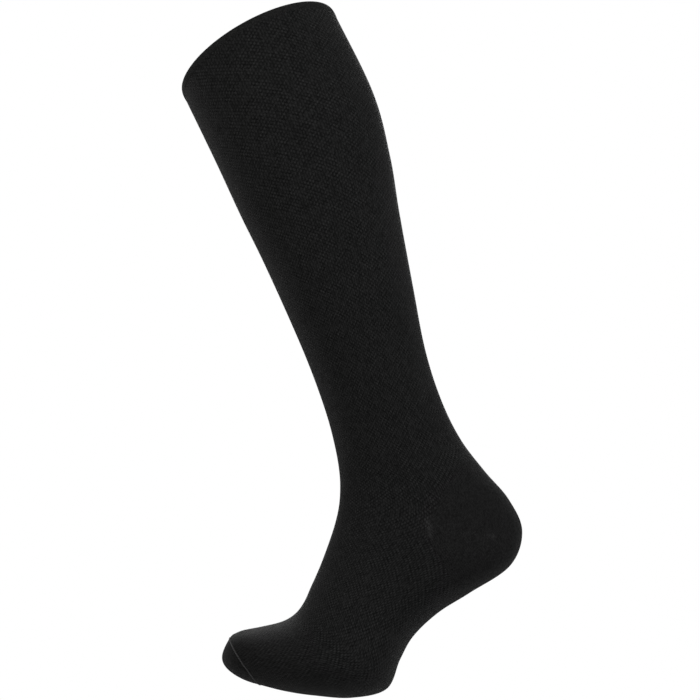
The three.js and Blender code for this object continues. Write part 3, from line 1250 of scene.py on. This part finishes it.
@dataclass
class Studio:
    """A pale floor, soft white light all round and the camera of the photograph.

    surround is the strength of the white all round as light, paleness the floor's tone as it is seen, and
    bounce its tone for the light that it throws back.
    """

    floor_height: float = -0.70
    floor_size: float = 3.0
    camera_place: Place = (0.0701, -1.0231, -0.4694)
    camera_tilt: float = math.radians(13)
    lens: float = 73.97
    surround: float = 0.80
    paleness: float = 0.86
    bounce: float = 0.36
    lights: tuple[SoftLight, ...] = field(
        default_factory=lambda: (
            SoftLight("key light", (-1.1, -1.2, 0.9), (0.03, 0, -0.2), 1.2, 25.0, (1.0, 0.99, 0.97)),
            SoftLight("fill light", (1.2, -1.0, 0.0), (0.08, 0, -0.38), 1.2, 16.0, (0.97, 0.99, 1.0)),
            SoftLight("overhead light", (0.08, 0.8, 0.2), (0.0, 0, -0.44), 0.6, 16.0),
            SoftLight("left edge light", (-1.0, 0.9, 0.1), (0.02, 0, -0.25), 1.0, 5.5),
            SoftLight("right edge light", (1.2, 0.9, -0.25), (0.12, 0, -0.35), 1.0, 5.0),
        )
    )

    def build(self) -> None:
        """Builds the camera, the lights, the world and the floor."""
        self._camera()
        for light in self.lights:
            light.build()
        self._world()
        self._floor()
        bpy.context.scene.view_settings.view_transform = "Standard"

    def _camera(self) -> None:
        """Places the camera level with the foot, tilted up along the leg."""
        data = bpy.data.cameras.new("camera")
        data.sensor_width = 36.0
        data.lens = self.lens
        camera = bpy.data.objects.new("camera", data)
        camera.location = self.camera_place
        camera.rotation_euler = (math.pi / 2 + self.camera_tilt, 0, 0)
        bpy.context.scene.collection.objects.link(camera)
        bpy.context.scene.camera = camera

    def _world(self) -> None:
        """White behind the object, and a softer white as light."""
        world = bpy.data.worlds.new("white surround")
        world.use_nodes = True
        board = NodeBoard(world.node_tree)
        soft = world.node_tree.nodes["Background"]
        soft.inputs["Color"].default_value = (1.0, 1.0, 1.0, 1.0)
        soft.inputs["Strength"].default_value = self.surround
        seen = board.add("ShaderNodeBackground")
        seen.inputs["Color"].default_value = (1.0, 1.0, 1.0, 1.0)
        path = board.add("ShaderNodeLightPath")
        mix = board.add("ShaderNodeMixShader")
        board.feed(mix.inputs[0], path.outputs["Is Camera Ray"])
        board.feed(mix.inputs[1], soft.outputs[0])
        board.feed(mix.inputs[2], seen.outputs[0])
        board.feed(world.node_tree.nodes["World Output"].inputs["Surface"], mix.outputs[0])
        bpy.context.scene.world = world

    def _floor(self) -> None:
        """A square of pale board under the stocking, with a faint unevenness in its gloss.

        The camera sees it pale, but it throws less light back up, as the sole is dark.
        """
        half = self.floor_size / 2
        x, y = np.meshgrid([-half, half], [half, -half])
        points = np.stack([x, y, np.full_like(x, self.floor_height)], axis=2)
        corners = grid_corners(2, 2, False)[:, ::-1]
        uv = quads_of(points[..., :2])[:, ::-1]
        floor = mesh_object("floor", points.reshape(-1, 3), [FaceBlock(corners, uv, Skin.FACE)])
        material = bpy.data.materials.new("pale_floor")
        material.use_nodes = True
        board = NodeBoard(material.node_tree)
        shader = material.node_tree.nodes["Principled BSDF"]
        places = board.add("ShaderNodeTexCoord")
        cloud = board.noise(places.outputs["Object"], 6.0, 3.0)
        board.feed(shader.inputs["Roughness"], board.spread(cloud, 0.3, 0.7, 0.5, 0.65))
        path = board.add("ShaderNodeLightPath")
        tone = board.spread(path.outputs["Is Camera Ray"], 0.0, 1.0, self.bounce, self.paleness)
        board.feed(shader.inputs["Base Color"], tone)
        floor.data.materials.append(material)


def toe_linking(form: StockingForm, foot: FootTube) -> bpy.types.Object:
    """The linked seam round the toes: small slanted stitches of lighter thread."""
    pitch = 0.0013
    row = StitchRow(
        form,
        "toe_linking_stitches",
        LINKING_THREAD,
        length=0.0018,
        breadth=0.0008,
        height=0.0004,
        slant=math.radians(38),
    )
    angle = np.linspace(0, 2 * math.pi, 1201)
    places = form.points(foot.toe_seam_station(angle), angle)
    run = np.pad(np.cumsum(np.linalg.norm(np.diff(places, axis=0), axis=1)), (1, 0))
    count = round(run[-1] / pitch)
    spots = np.interp(np.arange(count) / count * run[-1], run, angle)
    return row.build(foot.toe_seam_station(spots), spots, np.ones(count))


def gore_stitches(form: StockingForm, heel: HeelPouch, side: int) -> bpy.types.Object:
    """The stitches along the gore line on one side of the heel, which grow smaller towards the back.

    Args:
        form: The outer form.
        heel: The heel pouch, which knows where the line lies.
        side: 1 for the +Y side, -1 for the -Y side.

    Returns:
        The row of stitches.
    """
    row = StitchRow(
        form,
        "gore_stitches_left" if side > 0 else "gore_stitches_right",
        GORE_YARN,
        length=0.0017,
        breadth=0.0006,
        height=0.0002,
        slant=math.radians(side * 55),
    )
    last_angle = math.radians(150)
    share = np.linspace(0.02, 1, 30)
    angle = form.gore_angle + (last_angle - form.gore_angle) * share
    if side < 0:
        angle = 2 * math.pi - angle
    _, gore, _ = heel.stations(angle)
    return row.build(gore, angle, 1.0 - 0.55 * share)


def main() -> None:
    """Loads the frame, builds the stocking piece by piece and sets the studio round it."""
    logging.basicConfig(level=logging.INFO, format="%(name)s: %(message)s")
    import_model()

    form = StockingForm(SECTIONS)
    edge = TurnedTopEdge(form)
    heel = HeelPouch(form)
    foot = FootTube(form)
    edge.build()
    LegTube(form, edge).build()
    heel.build()
    foot.build()
    linking = toe_linking(form, foot)
    ToeCap(form, foot, (linking,)).build()
    for side in (1, -1):
        gore_stitches(form, heel, side)
    Studio().build()


if __name__ == "__main__":
    main()
